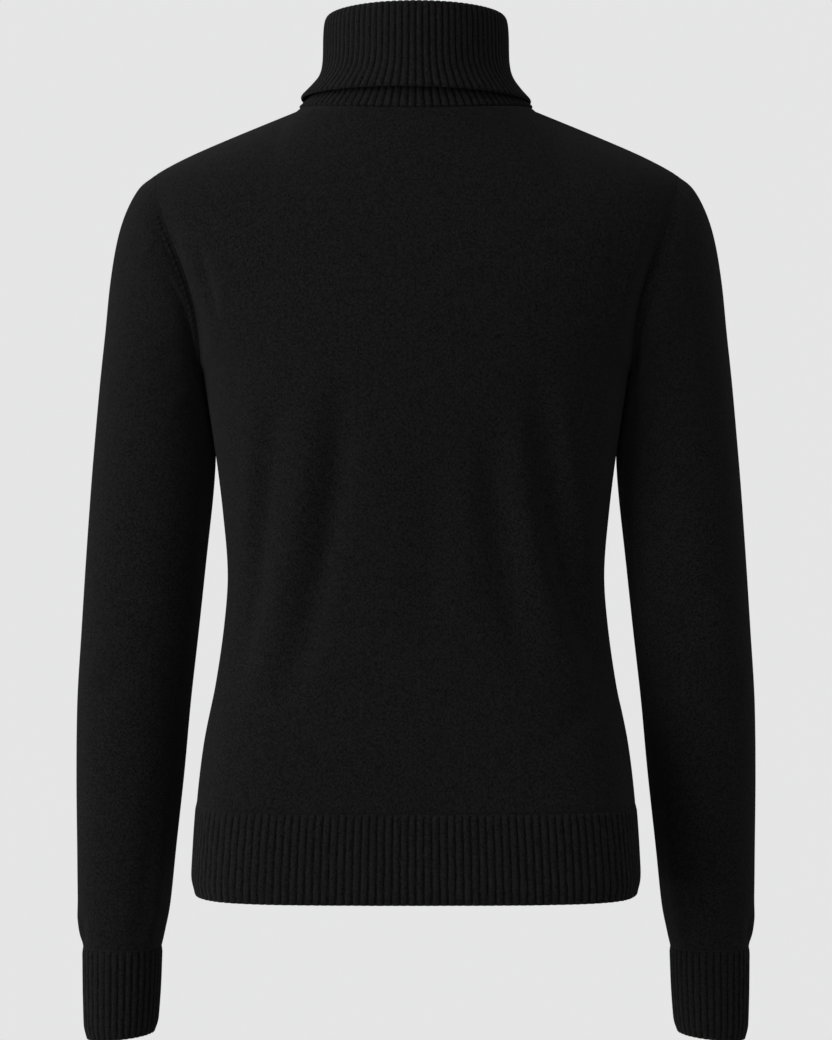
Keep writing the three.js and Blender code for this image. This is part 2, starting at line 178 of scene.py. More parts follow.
# The part of the panel's half width that the neckline takes, and the shape of its shoulder.
NECK_SHARE = 8 / 18
SHOULDER_TIP = (195, -48)
SHOULDER_ARCH = 0.1
SHOULDER_ANGLE = math.radians(62)
SHOULDER_ROUNDING_FROM = 0.5
YOKE_SQUARE = 0.04


def top_edge(side, u):
    """The top edge of a panel: half the neckline, then the shoulder seam."""
    across, hand = np.abs(u), np.where(u < 0, -1, 1)
    turn = np.clip(across / NECK_SHARE, 0, 1) * np.pi / 2
    end = NECK["z_back"] if side < 0 else NECK["z_front"]
    depth = NECK["back"] if side < 0 else NECK["front"]
    neck = [
        hand * NECK["half_width"] * np.sin(turn),
        side * depth * np.cos(turn),
        NECK["z_side"] + (end - NECK["z_side"]) * np.cos(turn) ** 2 - NECK["gap"],
    ]
    s = np.clip((across - NECK_SHARE) / (1 - NECK_SHARE), 0, 1)
    start = NECK["z_side"] - NECK["gap"]
    shoulder = [
        hand * (NECK["half_width"] + (SHOULDER_TIP[0] - NECK["half_width"]) * s),
        0 * s,
        start + (SHOULDER_TIP[1] - start) * s * (1 - SHOULDER_ARCH + SHOULDER_ARCH * s**6),
    ]
    return np.where((across <= NECK_SHARE)[..., None], np.stack(neck, -1), np.stack(shoulder, -1))


def body_point(side, u, z):
    """The outer face of the body below the underarm, which the hem continues."""
    value = {name: curve(BODY, "z", name, z) for name in BODY}
    across, deep = section(np.abs(u) * np.pi / 2, value["square"])
    middle = value["seam_y"]
    depth = side * value["back" if side < 0 else "front"]
    x = np.sign(u) * value["half_width"] * across
    return np.stack([x, middle + (depth - middle) * deep, z + 0 * u], -1)


def yoke_point(side, u, share):
    """The outer face above the underarm, before its top is drawn to the neckline and shoulder."""
    rows = CENTRE_BACK if side < 0 else CENTRE_FRONT
    centre_z = curve(rows, "share", "z", share)
    depth = side * curve(rows, "share", "depth", share)
    edge = armhole_point(side, np.where(u < 0, -1, 1), share)
    middle = BODY["seam_y"][-1]
    followed = np.arccos(np.clip((edge[..., 1] - middle) / (depth - middle), 0, 1))
    limit = followed + (SHOULDER_ANGLE - followed) * smooth(share, 0.3, 0.7)
    across, deep = section(np.abs(u) * limit, YOKE_SQUARE)
    end_across, end_deep = section(limit, YOKE_SQUARE)
    across, deep = across / end_across, (deep - end_deep) / (1 - end_deep)
    return np.stack(
        [
            edge[..., 0] * across,
            edge[..., 1] + (depth - edge[..., 1]) * deep,
            centre_z + (edge[..., 2] - centre_z) * across**2,
        ],
        -1,
    )


UNDERARM_EASE = dict(side=0.93, reach=0.1, height=0.13)


def two_part_form(side, u, v):
    """The part below the underarm and the part above it, which meet at v = 1."""
    low = body_point(side, u, HEM_TOP_Z + (UNDERARM_Z - HEM_TOP_Z) * np.minimum(v, 1))
    share = np.clip(v - 1, 0, 1)
    rise = np.clip((share - SHOULDER_ROUNDING_FROM) / (1 - SHOULDER_ROUNDING_FROM), 0, 1)
    pull = 1 - np.sqrt(np.maximum(0, 1 - rise * rise))
    high = yoke_point(side, u, share)
    high += pull[..., None] * (top_edge(side, u) - yoke_point(side, u, np.ones_like(u)))
    return np.where((v <= 1)[..., None], low, high)


def panel_form(side, u, v):
    """The panel without folds: v is 0 at the hem's rib, 1 at the underarm and 2 at the shoulder."""
    inner = 1 - smooth(np.abs(u), UNDERARM_EASE["side"], 1)
    reach = UNDERARM_EASE["reach"] * np.exp(-(((v - 1) / UNDERARM_EASE["height"]) ** 2)) * inner
    # The mean of five heights eases the turn at the underarm.
    form = two_part_form(side, u, v) * 0.4
    for step, weight in ((-1, 0.1), (-0.5, 0.2), (0.5, 0.2), (1, 0.1)):
        form += two_part_form(side, u, v + step * reach) * weight
    return form


# Soft folds of the back, as seen: troughs have a positive depth and ridges a negative one.
BACK_FOLDS = table(
    "x0 z0 x_mid x1 z1 width depth",
    [-116, -205, -122, -127, -400, 8, -1.2],
    [-100, -212, -113, -131, -442, 10, 4.2],
    [-74, -202, -83, -120, -446, 12, -3.0],
    [-52, -202, -56, -95, -442, 12, 6.2],
    [-22, -262, -20, -30, -405, 16, -0.9],
    [14, -250, 12, 10, -412, 12, 1.5],
    [35, -240, 36, 42, -400, 12, -0.9],
    [52, -222, 56, 84, -432, 12, 3.4],
    [77, -212, 70, 122, -432, 11, -2.8],
    [86, -198, 96, 142, -446, 12, 6.4],
    [103, -204, 110, 126, -332, 7, -1.8],
    [-174, -98, -164, -157, -160, 5.5, -3.0],
    [-160, -104, -151, -145, -166, 6, 4.4],
    [168, -92, 160, 154, -165, 7, -1.8],
    [150, -104, 146, 142, -160, 7, 1.6],
    [-140, -430, -120, -60, -470, 14, 1.2],
    [138, -430, 120, 70, -478, 14, 1.8],
)
FRONT_FOLDS = table(
    "x0 z0 x_mid x1 z1 width depth",
    [-92, -232, -106, -130, -428, 12, 4.0],
    [-48, -248, -54, -78, -410, 12, 2.8],
    [-70, -240, -80, -104, -420, 9, -1.2],
    [10, -256, 12, 16, -405, 14, 1.6],
    [58, -242, 66, 88, -416, 11, 3.4],
    [100, -226, 114, 137, -432, 12, 4.4],
    [80, -240, 90, 112, -424, 9, -1.2],
    [154, -100, 149, 143, -168, 7, 2.6],
    [-154, -98, -149, -142, -165, 7, 2.2],
    [166, -92, 160, 155, -150, 7, -1.0],
)


def fold_depth(folds, x, z):
    """How deep the folds are at a point: each follows a bent line and fades at its ends."""
    depth = np.zeros_like(x)
    for i in range(len(folds["depth"])):
        fold = {name: column[i] for name, column in folds.items()}
        s = np.clip((z - fold["z0"]) / (fold["z1"] - fold["z0"]), 0, 1)
        path = fold["x0"] * (1 - s) ** 2 + 2 * fold["x_mid"] * s * (1 - s) + fold["x1"] * s * s
        ends = np.sin(np.pi * s) ** 0.7
        depth += fold["depth"] * ends * np.exp(-(((x - path) / fold["width"]) ** 2))
    return depth


# The knit rolls in a little at the linked seams.
SEAM_DIP = dict(depth=0.25, armhole=1.2, shoulder=2.0)
# The cloth on both sides of the armhole seam sinks in together where the arm hangs down.
ARMHOLE_GROOVE = table(
    "share depth",
    [0, 0],
    [0.1, 3],
    [0.22, 8],
    [0.38, 10],
    [0.52, 7.5],
    [0.66, 3],
    [0.8, 0.5],
    [1, 0],
)
GROOVE_WIDTH = 11


def groove(share, from_seam):
    """How far the cloth beside the armhole seam lies in from its plain form."""
    depth = np.interp(share, ARMHOLE_GROOVE["share"], ARMHOLE_GROOVE["depth"])
    return depth * np.exp(-((from_seam / GROOVE_WIDTH) ** 2))


def outward(form, a, b, a_range, b_range, sign):
    """The normal of a form given by two parameters."""
    step = 1e-3
    along_a = form(np.clip(a + step, *a_range), b) - form(np.clip(a - step, *a_range), b)
    along_b = form(a, np.clip(b + step, *b_range)) - form(a, np.clip(b - step, *b_range))
    out = np.cross(along_a, along_b) * sign
    return out / np.maximum(np.linalg.norm(out, axis=-1, keepdims=True), 1e-9)


def shaped_panel(side, u, v):
    """The panel with its folds, its seams' edges and the groove beside the armhole."""
    point = panel_form(side, u, v)
    out = outward(lambda a, b: panel_form(side, a, b), u, v, (-1, 1), (0, 2), -side)
    x, z = point[..., 0], point[..., 2]
    sides = 1 - np.abs(u) ** 8
    inward = fold_depth(BACK_FOLDS if side < 0 else FRONT_FOLDS, x, z) * sides
    inward *= 1 - smooth(v, 1.7, 1.95)
    from_side = np.linalg.norm(point - panel_form(side, np.sign(u) + (u == 0), v), axis=-1)
    dip = np.exp(-((from_side / SEAM_DIP["armhole"]) ** 2)) * smooth(v, 1.66, 1.8)
    from_top = np.linalg.norm(point - panel_form(side, u, np.full_like(v, 2)), axis=-1)
    dip += np.exp(-((from_top / SEAM_DIP["shoulder"]) ** 2))
    inward += SEAM_DIP["depth"] * dip
    point -= out * inward[..., None]
    point[..., 1] -= side * np.where(v > 1, groove(v - 1, from_side), 0)
    return point


def finished(name, bm, material):
    """Turns a bmesh into an object with its material."""
    mesh = bpy.data.meshes.new(name)
    bm.to_mesh(mesh)
    bm.free()
    mesh.materials.append(material)
    made = bpy.data.objects.new(name, mesh)
    bpy.context.collection.objects.link(made)
    return made


def grid_piece(name, place, cloth, material, columns, rows, closed=False, thick=None):
    """A grid of knitted cloth. place gives each point's position from u across and v along, both
    from 0 to 1, and cloth gives the width and length of the cloth up to that point."""
    bm = bmesh.new()
    bmesh.ops.create_grid(bm, x_segments=columns, y_segments=rows, size=0.5, calc_uvs=False)
    at = np.array([v.co[:2] for v in bm.verts]) + 0.5
    where = place(at[:, 0], at[:, 1])
    stitched = bm.loops.layers.uv.new("cloth")
    lay = cloth(at[:, 0], at[:, 1])
    bm.verts.index_update()
    for face in bm.faces:
        face.smooth = True
        for loop in face.loops:
            loop[stitched].uv = lay[loop.vert.index]
    for vert, co in zip(bm.verts, where * MM):
        vert.co = co
    if closed:
        edge = [v for v in bm.verts if v.is_boundary]
        bmesh.ops.remove_doubles(bm, verts=edge, dist=1e-6)
    piece = finished(name, bm, material)
    if thick:
        wall = piece.modifiers.new("wall", "SOLIDIFY")
        wall.thickness = thick * MM
        wall.offset = -1
    return piece


# Width and height of a stitch, and the cloth's thickness.
KNIT = dict(wale=1.7, course=1.25)
CLOTH_WALL = 1.7
# The darkest and lightest yarn, and how much each part of the pattern adds to the tone; the stitch and
# groove parts are painted shade.
YARN = dict(dark=(0.004, 0.004, 0.004, 1), light=(0.03, 0.03, 0.0298, 1), low=0.508, high=0.858)
TONE = dict(streaks=0.1, specks=0.42, mixed=0.7, stitch=0.15, rib=0.06, groove=0.35)


def knit_material(name, ribs):
    """Fine wool knit in charcoal, with stitches in relief, streaks down the wales and loose fibres,
    and painted shade between the stitches' legs and in the ribs' grooves.
    """
    made = bpy.data.materials.new(name)
    made.use_nodes = True
    nodes, links = made.node_tree.nodes, made.node_tree.links
    shader = nodes["Principled BSDF"]

    def node(kind, **values):
        n = nodes.new(kind)
        for key, value in values.items():
            setattr(n, key, value)
        return n

    def math_node(operation, a, b=None):
        n = node("ShaderNodeMath", operation=operation)
        for socket, value in zip(n.inputs, (a, b)):
            if isinstance(value, (int, float)):
                socket.default_value = value
            elif value is not None:
                links.new(value, socket)
        return n.outputs[0]

    def noise(scale, detail, at, **values):
        n = node("ShaderNodeTexNoise", **values)
        n.inputs["Scale"].default_value = scale
        n.inputs["Detail"].default_value = detail
        links.new(at, n.inputs["Vector"])
        return n

    lay = node("ShaderNodeUVMap", uv_map="cloth")
    split = node("ShaderNodeSeparateXYZ")
    links.new(lay.outputs[0], split.inputs[0])
    place = node("ShaderNodeTexCoord").outputs["Object"]
    # Loose fibres push the pattern a little out of line.
    fuzz = noise(900, 3, place)
    stray = math_node("MULTIPLY", math_node("SUBTRACT", fuzz.outputs[0], 0.5), 0.5)
    wales = math_node("MULTIPLY", split.outputs[0], 1 / (KNIT["wale"] * MM))
    courses = math_node("MULTIPLY", split.outputs[1], 1 / (KNIT["course"] * MM))
    across = math_node("ADD", wales, stray)
    along = math_node("ADD", courses, stray)
    # Each wale is a column of Vs: two legs that lean together, one stitch above the next.
    from_middle = math_node("ABSOLUTE", math_node("SUBTRACT", math_node("FRACT", across), 0.5))
    leg = math_node("SUBTRACT", math_node("MULTIPLY", from_middle, 4), 1)
    round_leg = math_node("SUBTRACT", 1, math_node("MULTIPLY", leg, leg))
    rise = math_node("ADD", along, math_node("MULTIPLY", from_middle, 1.6))
    turn = math_node("SINE", math_node("MULTIPLY", rise, 2 * math.pi))
    bulge = math_node("ADD", math_node("MULTIPLY", turn, 0.35), 0.65)
    stitch = math_node("MULTIPLY", round_leg, bulge)

    stretch = node("ShaderNodeMapping")
    stretch.inputs["Scale"].default_value = (420, 60, 1)
    links.new(lay.outputs[0], stretch.inputs["Vector"])
    streaks = noise(1, 4, stretch.outputs[0])
    specks = noise(620, 3, place)
    specks.inputs["Roughness"].default_value = 0.65
    # The yarn is a mix of black and grey wool, so one leg of a stitch is lighter than the next.
    leg_at = node("ShaderNodeCombineXYZ")
    which_leg = math_node("FLOOR", math_node("MULTIPLY", across, 2))
    links.new(math_node("MULTIPLY", which_leg, 7.31), leg_at.inputs[0])
    links.new(math_node("MULTIPLY", rise, 0.9), leg_at.inputs[1])
    mixed = noise(1, 1, leg_at.outputs[0], noise_dimensions="2D")
    tone = math_node("MULTIPLY", streaks.outputs[0], TONE["streaks"])
    tone = math_node("ADD", tone, math_node("MULTIPLY", specks.outputs[0], TONE["specks"]))
    tone = math_node("ADD", tone, math_node("MULTIPLY", mixed.outputs[0], TONE["mixed"]))
    # The stitch pattern also lightens the yarn where the legs stand up and darkens it in the hollows
    # between them: painted shade.
    tone = math_node("ADD", tone, math_node("MULTIPLY", stitch, TONE["stitch"]))
    if ribs:
        # The purl wales at the bottom of each groove lie in shade, which is painted here as darker
        # yarn.
        turn_across = math_node("FRACT", math_node("DIVIDE", math_node("SUBTRACT", across, 0.5), 3))
        off_ridge = math_node("SUBTRACT", math_node("MULTIPLY", turn_across, 2), 1)
        groove_shade = math_node("POWER", math_node("ABSOLUTE", off_ridge), 4)
        tone = math_node("ADD", tone, TONE["rib"])
        tone = math_node("SUBTRACT", tone, math_node("MULTIPLY", groove_shade, TONE["groove"]))
    ramp = node("ShaderNodeValToRGB")
    ramp.color_ramp.elements[0].position = YARN["low"]
    ramp.color_ramp.elements[0].color = YARN["dark"]
    ramp.color_ramp.elements[1].position = YARN["high"]
    ramp.color_ramp.elements[1].color = YARN["light"]
    links.new(tone, ramp.inputs[0])
    links.new(ramp.outputs[0], shader.inputs["Base Color"])

    fibres = math_node("MULTIPLY", specks.outputs[0], 0.6)
    relief = math_node("ADD", math_node("MULTIPLY", stitch, 0.7), fibres)
    bump = node("ShaderNodeBump")
    bump.inputs["Strength"].default_value = 0.55
    bump.inputs["Distance"].default_value = 0.6 * MM
    links.new(relief, bump.inputs["Height"])
    links.new(bump.outputs[0], shader.inputs["Normal"])
    shader.inputs["Roughness"].default_value = 0.92
    shader.inputs["Specular IOR Level"].default_value = 0.22
    shader.inputs["Sheen Weight"].default_value = 0.12
    shader.inputs["Sheen Roughness"].default_value = 0.5
    shader.inputs["Sheen Tint"].default_value = (0.8, 0.8, 0.8, 1)
    return made


plain_knit = knit_material("plain_knit", False)


def panel_cloth(side):
    """The cloth's own width and length at each point: the wales stay upright and parallel."""
    steps = 120
    fine_u, fine_v = np.meshgrid(
        np.linspace(-1, 1, steps + 1), np.linspace(0, 2, steps + 1), indexing="ij"
    )
    form = panel_form(side, fine_u, fine_v)
    wide = np.cumsum(np.linalg.norm(np.diff(form, axis=0), axis=-1), axis=0)
    wide = np.concatenate([np.zeros((1, steps + 1)), wide]) * MM
    wide -= wide[steps // 2]
    tall = np.cumsum(np.linalg.norm(np.diff(form[steps // 2], axis=0), axis=-1)) * MM
    tall = np.concatenate([[0], tall])

    def lay(u, v):
        column, row = np.clip(u * steps, 0, steps - 1e-3), np.clip(v * steps, 0, steps - 1e-3)
        i, j = column.astype(int), row.astype(int)
        a, b = (column - i), (row - j)
        lower = wide[i, j] * (1 - a) + wide[i + 1, j] * a
        upper = wide[i, j + 1] * (1 - a) + wide[i + 1, j + 1] * a
        return np.stack([lower * (1 - b) + upper * b, tall[j] * (1 - b) + tall[j + 1] * b], -1)

    return lay


def yoke_spread(v):
    """Rows lie closer where the shoulder rounds over."""
    return np.where(v < 0.5, 2 * v, 2 - (2 - 2 * v) ** 1.5)


def side_spread(u):
    """Columns lie closer towards the side seams and the armholes."""
    across = 2 * u - 1
    return across * (1.25 - 0.25 * across**2)


for side, name in ((-1, "back_panel"), (1, "front_panel")):
    piece = grid_piece(
        "knitted_" + name,
        lambda u, v: shaped_panel(side, side_spread(u), yoke_spread(v)),
        lambda u, v: panel_cloth(side)((side_spread(u) + 1) / 2, yoke_spread(v) / 2),
        plain_knit,
        columns=170,
        rows=190,
        thick=CLOTH_WALL,
    )
    if side > 0:
        piece.data.flip_normals()
    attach(piece, "root")
    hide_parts(name)

# Hem
# Two bands of 2x2 rib, back and front, knitted on at the bottom of the panels and joined down
# the side seams. Two plain wales stand up from each narrow groove.

RIB_HIGH = 0.75
RIB_LOW = -0.75
POINTS_A_RIB = 6
HEM_RIBS = 88
RIB_WIDE = 3 * KNIT["wale"] * MM
# The ribs rise out of the plain cloth over this height.
RIB_START = (-1, 5)
# The free edge is rounded off, and the hem and the cuffs draw in towards it.
EDGE_ROUND = dict(depth=0.4, height=1.6)
HEM_DRAW = dict(depth=2.8, height=7)


def rib_height(turn):
    """The rib's outline: a broad round ridge and a narrow groove, once in each turn."""
    ridge = 1 - np.abs(2 * (turn % 1) - 1) ** 3.2
    return RIB_LOW + (RIB_HIGH - RIB_LOW) * ridge


def waver(slow, quick, share):
    """How far a rib strays sideways along its length, in turns."""
    return 0.06 * np.sin(slow + share * 140) + 0.05 * np.sin(quick + share * 317)


def edge_fall(above, draw):
    """How far the cloth lies in at a height above its free edge."""
    rounded = EDGE_ROUND["depth"] * np.exp(-((above / EDGE_ROUND["height"]) ** 2))
    return rounded + draw["depth"] * np.exp(-((above / draw["height"]) ** 2))


def even_steps(row, low, high):
    """Lets a share from 0 to 1 run evenly along a row of the form."""
    fine = np.linspace(low, high, 801)
    length = np.concatenate([[0], np.cumsum(np.linalg.norm(np.diff(row(fine), axis=0), axis=-1))])
    return lambda share: np.interp(share, length / length[-1], fine)


rib_knit = knit_material("rib_knit", True)

for side, name in ((-1, "hem_rib_back"), (1, "hem_rib_front")):
    half_way = (HEM_Z + HEM_TOP_Z) / 2
    across_hem = even_steps(lambda u: body_point(side, u, np.full_like(u, half_way)), -1, 1)

    def hem_place(share, v):
        u, z = across_hem(share), HEM_Z + (HEM_TOP_Z - HEM_Z) * v
        out = outward(lambda a, b: body_point(side, a, b), u, z, (-1, 1), (HEM_Z, HEM_TOP_Z), -side)
        out[..., 2] = 0
        turn = share * HEM_RIBS + waver(z * 0.21, z * 0.47, share)
        height = rib_height(turn) * smooth(HEM_TOP_Z - z, *RIB_START) - edge_fall(z - HEM_Z, HEM_DRAW)
        # The band lies a little uneven.
        height += 0.25 * np.sin(share * 61 + z * 0.05) * np.sin(share * 23 + 1.3)
        return body_point(side, u, z) + out * height[..., None]

    piece = grid_piece(
        "knitted_" + name,
        hem_place,
        lambda u, v: np.stack([(u * HEM_RIBS + 1 / 6) * RIB_WIDE, v * (HEM_TOP_Z - HEM_Z) * MM], -1),
        rib_knit,
        columns=HEM_RIBS * POINTS_A_RIB,
        rows=28,
        thick=CLOTH_WALL,
    )
    if side > 0:
        piece.data.flip_normals()
    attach(piece, "root")
    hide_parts(name)

# Sleeves
# Plain knit tubes, set into the armholes and joined along the inside of the arm. They hang
# beside the body, a little in front of it at the wrist.

# Creases of the sleeve, on a line from one angle and section to another.
SLEEVE_FOLDS = table(
    "angle0 station0 angle1 station1 width depth",
    [128, 2.6, 96, 4.6, 7, 1.6],
    [146, 3.4, 112, 5.6, 6, -1.4],
    [60, 9.2, 120, 10.2, 14, 1.4],
    [100, 10.2, 40, 11.2, 13, 1.2],
    [-70, 8.6, -130, 9.8, 14, 1.8],
    [-120, 9.8, -60, 11, 13, 1.6],
    [120, 13.4, 50, 14.4, 10, 0.9],
    [-40, 13, -120, 14.2, 10, 1.0],
    [8, 14.2, 22, 15.7, 5, -1.3],
    [34, 14.3, 22, 15.8, 5, 1.4],
    [142, 12.2, 136, 15.6, 6, -1.1],
    [122, 12.6, 118, 15.4, 7, 1.0],
)
# The sleeve hangs down beside the body, so its cloth dips next to the lower part of the seam.
VALLEY = table(
    "share off depth",
    [0.08, 6, 0],
    [0.2, 9, 3.5],
    [0.3, 10, 5],
    [0.4, 12, 5],
    [0.5, 15, 3],
    [0.62, 18, 0],
)
VALLEY_STEEP = 5
VALLEY_BROAD = 13
LAST_STATION = 16
ANY_ANGLE = (-9, 9)


def sleeve_place(hand, angle, station):
    """The sleeve's outer face with its creases, its dip beside the seam and the shared groove."""

    def form(a, b):
        return arm_ring(SLEEVE, b, hand, a)

    out = outward(form, angle, station, ANY_ANGLE, (0, LAST_STATION), hand)
    point = form(angle, station)
    inward = np.zeros_like(angle)
    radius = np.interp(station, SLEEVE["station"], SLEEVE["depth"])
    for i in range(len(SLEEVE_FOLDS["depth"])):
        fold = {name: column[i] for name, column in SLEEVE_FOLDS.items()}
        s = np.clip((station - fold["station0"]) / (fold["station1"] - fold["station0"]), -0.5, 1.5)
        middle = np.radians(fold["angle0"] + (fold["angle1"] - fold["angle0"]) * s)
        off = ((angle - middle + np.pi) % (2 * np.pi) - np.pi) * radius
        reach = np.exp(-(((s - 0.5) / 0.55) ** 4)) * (station > 1)
        inward += fold["depth"] * reach * np.exp(-((off / fold["width"]) ** 2))
    from_seam = np.linalg.norm(point - form(angle, np.zeros_like(station)), axis=-1)
    share = 1 - np.abs((angle + np.pi) % (2 * np.pi) - np.pi) / np.pi
    past = from_seam - np.interp(share, VALLEY["share"], VALLEY["off"])
    slope = np.where(past < 0, VALLEY_STEEP, VALLEY_BROAD)
    inward += np.interp(share, VALLEY["share"], VALLEY["depth"]) * np.exp(-((past / slope) ** 2))
    inward *= smooth(from_seam, 0, 4)
    point -= out * inward[..., None]
    point[..., 1] += np.sign(angle) * groove(share, from_seam)
    return point


def arm_cloth(rows, last):
    """Wales run down the sleeve from its outer line."""
    stations = np.linspace(0, last, 161)
    middle = arm_ring(rows, stations, 1, np.zeros_like(stations))
    down = np.concatenate([[0], np.cumsum(np.linalg.norm(np.diff(middle, axis=0), axis=-1))])
    turns = np.linspace(-np.pi, np.pi, 181)
    a, b = np.meshgrid(turns, stations, indexing="ij")
    ring = arm_ring(rows, b, 1, a)
    girth = np.linalg.norm(np.diff(ring, axis=0), axis=-1).sum(axis=0)

    def lay(angle, station):
        wide = np.interp(station, stations, girth) * angle / (2 * np.pi)
        return np.stack([wide, np.interp(station, stations, down)], -1) * MM

    return lay


sleeve_cloth = arm_cloth(SLEEVE, LAST_STATION)
SLEEVE_STEP = 1.25


def sleeve_station(v):
    """Sections lie closer together near the armhole."""
    return LAST_STATION * v**SLEEVE_STEP


for hand, name in ((-1, "left_sleeve"), (1, "right_sleeve")):
    piece = grid_piece(
        "knitted_" + name,
        lambda u, v: sleeve_place(hand, (2 * u - 1) * np.pi, sleeve_station(v)),
        lambda u, v: sleeve_cloth((2 * u - 1) * np.pi, sleeve_station(v)),
        plain_knit,
        columns=112,
        rows=220,
        closed=True,
        thick=CLOTH_WALL,
    )
    if hand < 0:
        piece.data.flip_normals()
    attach(piece, "root")
    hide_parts(name)

# Shaping marks
# Where the sleeve's knitting was narrowed for the armhole, a row of doubled stitches stands up
# beside the seam, from below the shoulder almost to the underarm, behind and in front.

# Their spacing, distance from the seam above and below, and half sizes.
MARKS = dict(pitch=4.8, off=5.2, off_low=3.8, length=1.8, width=1.35, height=0.9)
MARKED = (0.27, 0.69)
MARK_SLANT = math.radians(20)

for side, hand, name in (
    (-1, -1, "left_back_marks"),
    (-1, 1, "right_back_marks"),
    (1, -1, "left_front_marks"),
    (1, 1, "right_front_marks"),
):
    shares = np.linspace(MARKED[1], MARKED[0], 400)
    seam = armhole_point(side, hand, shares)
    down = np.concatenate([[0], np.cumsum(np.linalg.norm(np.diff(seam, axis=0), axis=-1))])
    count = int(down[-1] / MARKS["pitch"])
    bm = bmesh.new()
    for k in range(count):
        share = np.interp((k + 0.5) * MARKS["pitch"], down, shares)
        off = MARKS["off"] + (MARKS["off_low"] - MARKS["off"]) * k / count
        angle = -side * np.pi * (1 - share)
        stations = np.linspace(0, 2.5, 251)
        away = sleeve_place(hand, np.full_like(stations, angle), stations)
        station = np.interp(off, np.linalg.norm(away - away[0], axis=-1), stations)
        near_angles = np.array([angle, angle, angle + side * 0.02])
        near_stations = np.array([station, station + 0.05, station])
        here, beyond, above = sleeve_place(hand, near_angles, near_stations)
        along = (above - here) / np.linalg.norm(above - here)
        out = np.cross(beyond - here, along)
        out /= np.linalg.norm(out)
        out *= np.sign(out[1]) * side
        across = np.cross(along, out) * -side * hand
        long_way = math.cos(MARK_SLANT) * along + math.sin(MARK_SLANT) * across
        set_in = np.eye(4)
        set_in[:3, 0] = np.cross(long_way, out) * MARKS["width"] * MM
        set_in[:3, 1] = long_way * MARKS["length"] * MM
        set_in[:3, 2] = out * MARKS["height"] * MM
        set_in[:3, 3] = here * MM
        bmesh.ops.create_uvsphere(
            bm, u_segments=12, v_segments=6, radius=1, matrix=mathutils.Matrix(set_in)
        )
    bmesh.ops.recalc_face_normals(bm, faces=bm.faces)
    stitched = bm.loops.layers.uv.new("cloth")
    for face in bm.faces:
        face.smooth = True
        for loop in face.loops:
            loop[stitched].uv = loop.vert.co.x, loop.vert.co.z
    piece = finished(name, bm, plain_knit)
    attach(piece, "root")

# Cuffs
# Tubes of the same 2x2 rib, knitted on at the ends of the sleeves. They have no seam of their
# own apart from the sleeve's, which runs on down the inside of the wrist.

CUFF = table(
    "station outer_x outer_z outer_y inner_x inner_z inner_y depth bow",
    [0, 253, -630, 29, 193.6, -630, 29, 29.5, 0],
    [1, 252.8, -665, 30, 195, -663, 30, 28.5, 0],
    [2, 252, -700, 31, 197.5, -695, 31, 27, 0],
)
CUFF_RIBS = 36
CUFF_LENGTH = 70
CUFF_DRAW = dict(depth=1.8, height=6)

for hand, name in ((-1, "left_cuff"), (1, "right_cuff")):

    def cuff_place(share, v):
        angle, station = (2 * share - 1) * np.pi, 2 * v
        out = outward(lambda a, b: arm_ring(CUFF, b, hand, a), angle, station, ANY_ANGLE, (0, 2), hand)
        out[..., 2] = 0
        turn = share * CUFF_RIBS + waver(v * 15, v * 33, share)
        height = rib_height(turn) * smooth(v * CUFF_LENGTH, *RIB_START)
        height -= edge_fall((1 - v) * CUFF_LENGTH, CUFF_DRAW)
        return arm_ring(CUFF, station, hand, angle) + out * height[..., None]

    piece = grid_piece(
        "knitted_" + name,
        cuff_place,
        lambda u, v: np.stack([(u * CUFF_RIBS + 1 / 6) * RIB_WIDE, v * CUFF_LENGTH * MM], -1),
        rib_knit,
        columns=CUFF_RIBS * POINTS_A_RIB,
        rows=28,
        closed=True,
        thick=CLOTH_WALL,
    )
    if hand < 0:
        piece.data.flip_normals()
    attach(piece, "root")
    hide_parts(name)

# Roll collar
# One long tube of 2x2 rib, linked on round the neckline. It stands up close to the neck and
# folds over once, so its loose edge comes down almost to the seam and springs a little outwards.

COLLAR = table(
    "station half_width back front z_back z_side z_front",
    [0, 86.6, 65.6, 69.6, -6, 2, -34],
    [1, 82, 64, 68, -1, 6, -27],
    [2, 74, 62, 66.5, 8, 14, -15],
    [3, 65, 60.5, 65, 22, 26, 2],
    [4, 62, 60, 64, 42, 42, 28],
    [5, 61.4, 60, 64.2, 62, 61, 50],
    [6, 62.4, 61, 65.2, 68.2, 67.2, 56.2],
    [7, 64.6, 63.2, 67.4, 70.5, 70, 59],
    [8, 66.9, 65.3, 69.7, 67.7, 66.8, 56.2],
    [9, 67.9, 66.2, 70.8, 56, 56, 45],
    [10, 68.4, 66.3, 71.2, 37, 37, 26],
    [11, 71, 67, 72.8, 26, 25.5, 12],
    [12, 77.4, 68.6, 76.2, 17, 16.5, 3],
    [13, 86, 70.4, 80.2, 8, 7.5, -8],
)
COLLAR_EDGE = 13
COLLAR_LEAN = 1.5
COLLAR_RIBS = 88
PLY = 2.0
# How many rows of points each stretch of the sections has.
COLLAR_ROWS = table(
    "start end count",
    [0, 0.1, 3],
    [0.1, 5.2, 14],
    [5.2, 8.6, 18],
    [8.6, 12.75, 18],
    [12.75, 13, 5],
)


def collar_form(angle, station):
    """The middle of the collar's cloth, from its seam up over the fold and down to its edge."""
    value = {name: curve(COLLAR, "station", name, station) for name in COLLAR}
    c = np.cos(angle)
    end = np.where(c > 0, value["z_back"], value["z_front"])
    depth = np.where(c > 0, value["back"], value["front"])
    lean = COLLAR_LEAN * smooth(station, COLLAR_EDGE - 3, COLLAR_EDGE) * np.sin(angle)
    z = value["z_side"] + (end - value["z_side"]) * c * c - lean
    return np.stack([value["half_width"] * np.sin(angle), -depth * c, z], -1)


collar_stations = np.concatenate(
    [np.linspace(a, b, int(n) + 1)[:-1] for a, b, n in zip(*COLLAR_ROWS.values())] + [[COLLAR_EDGE]]
)


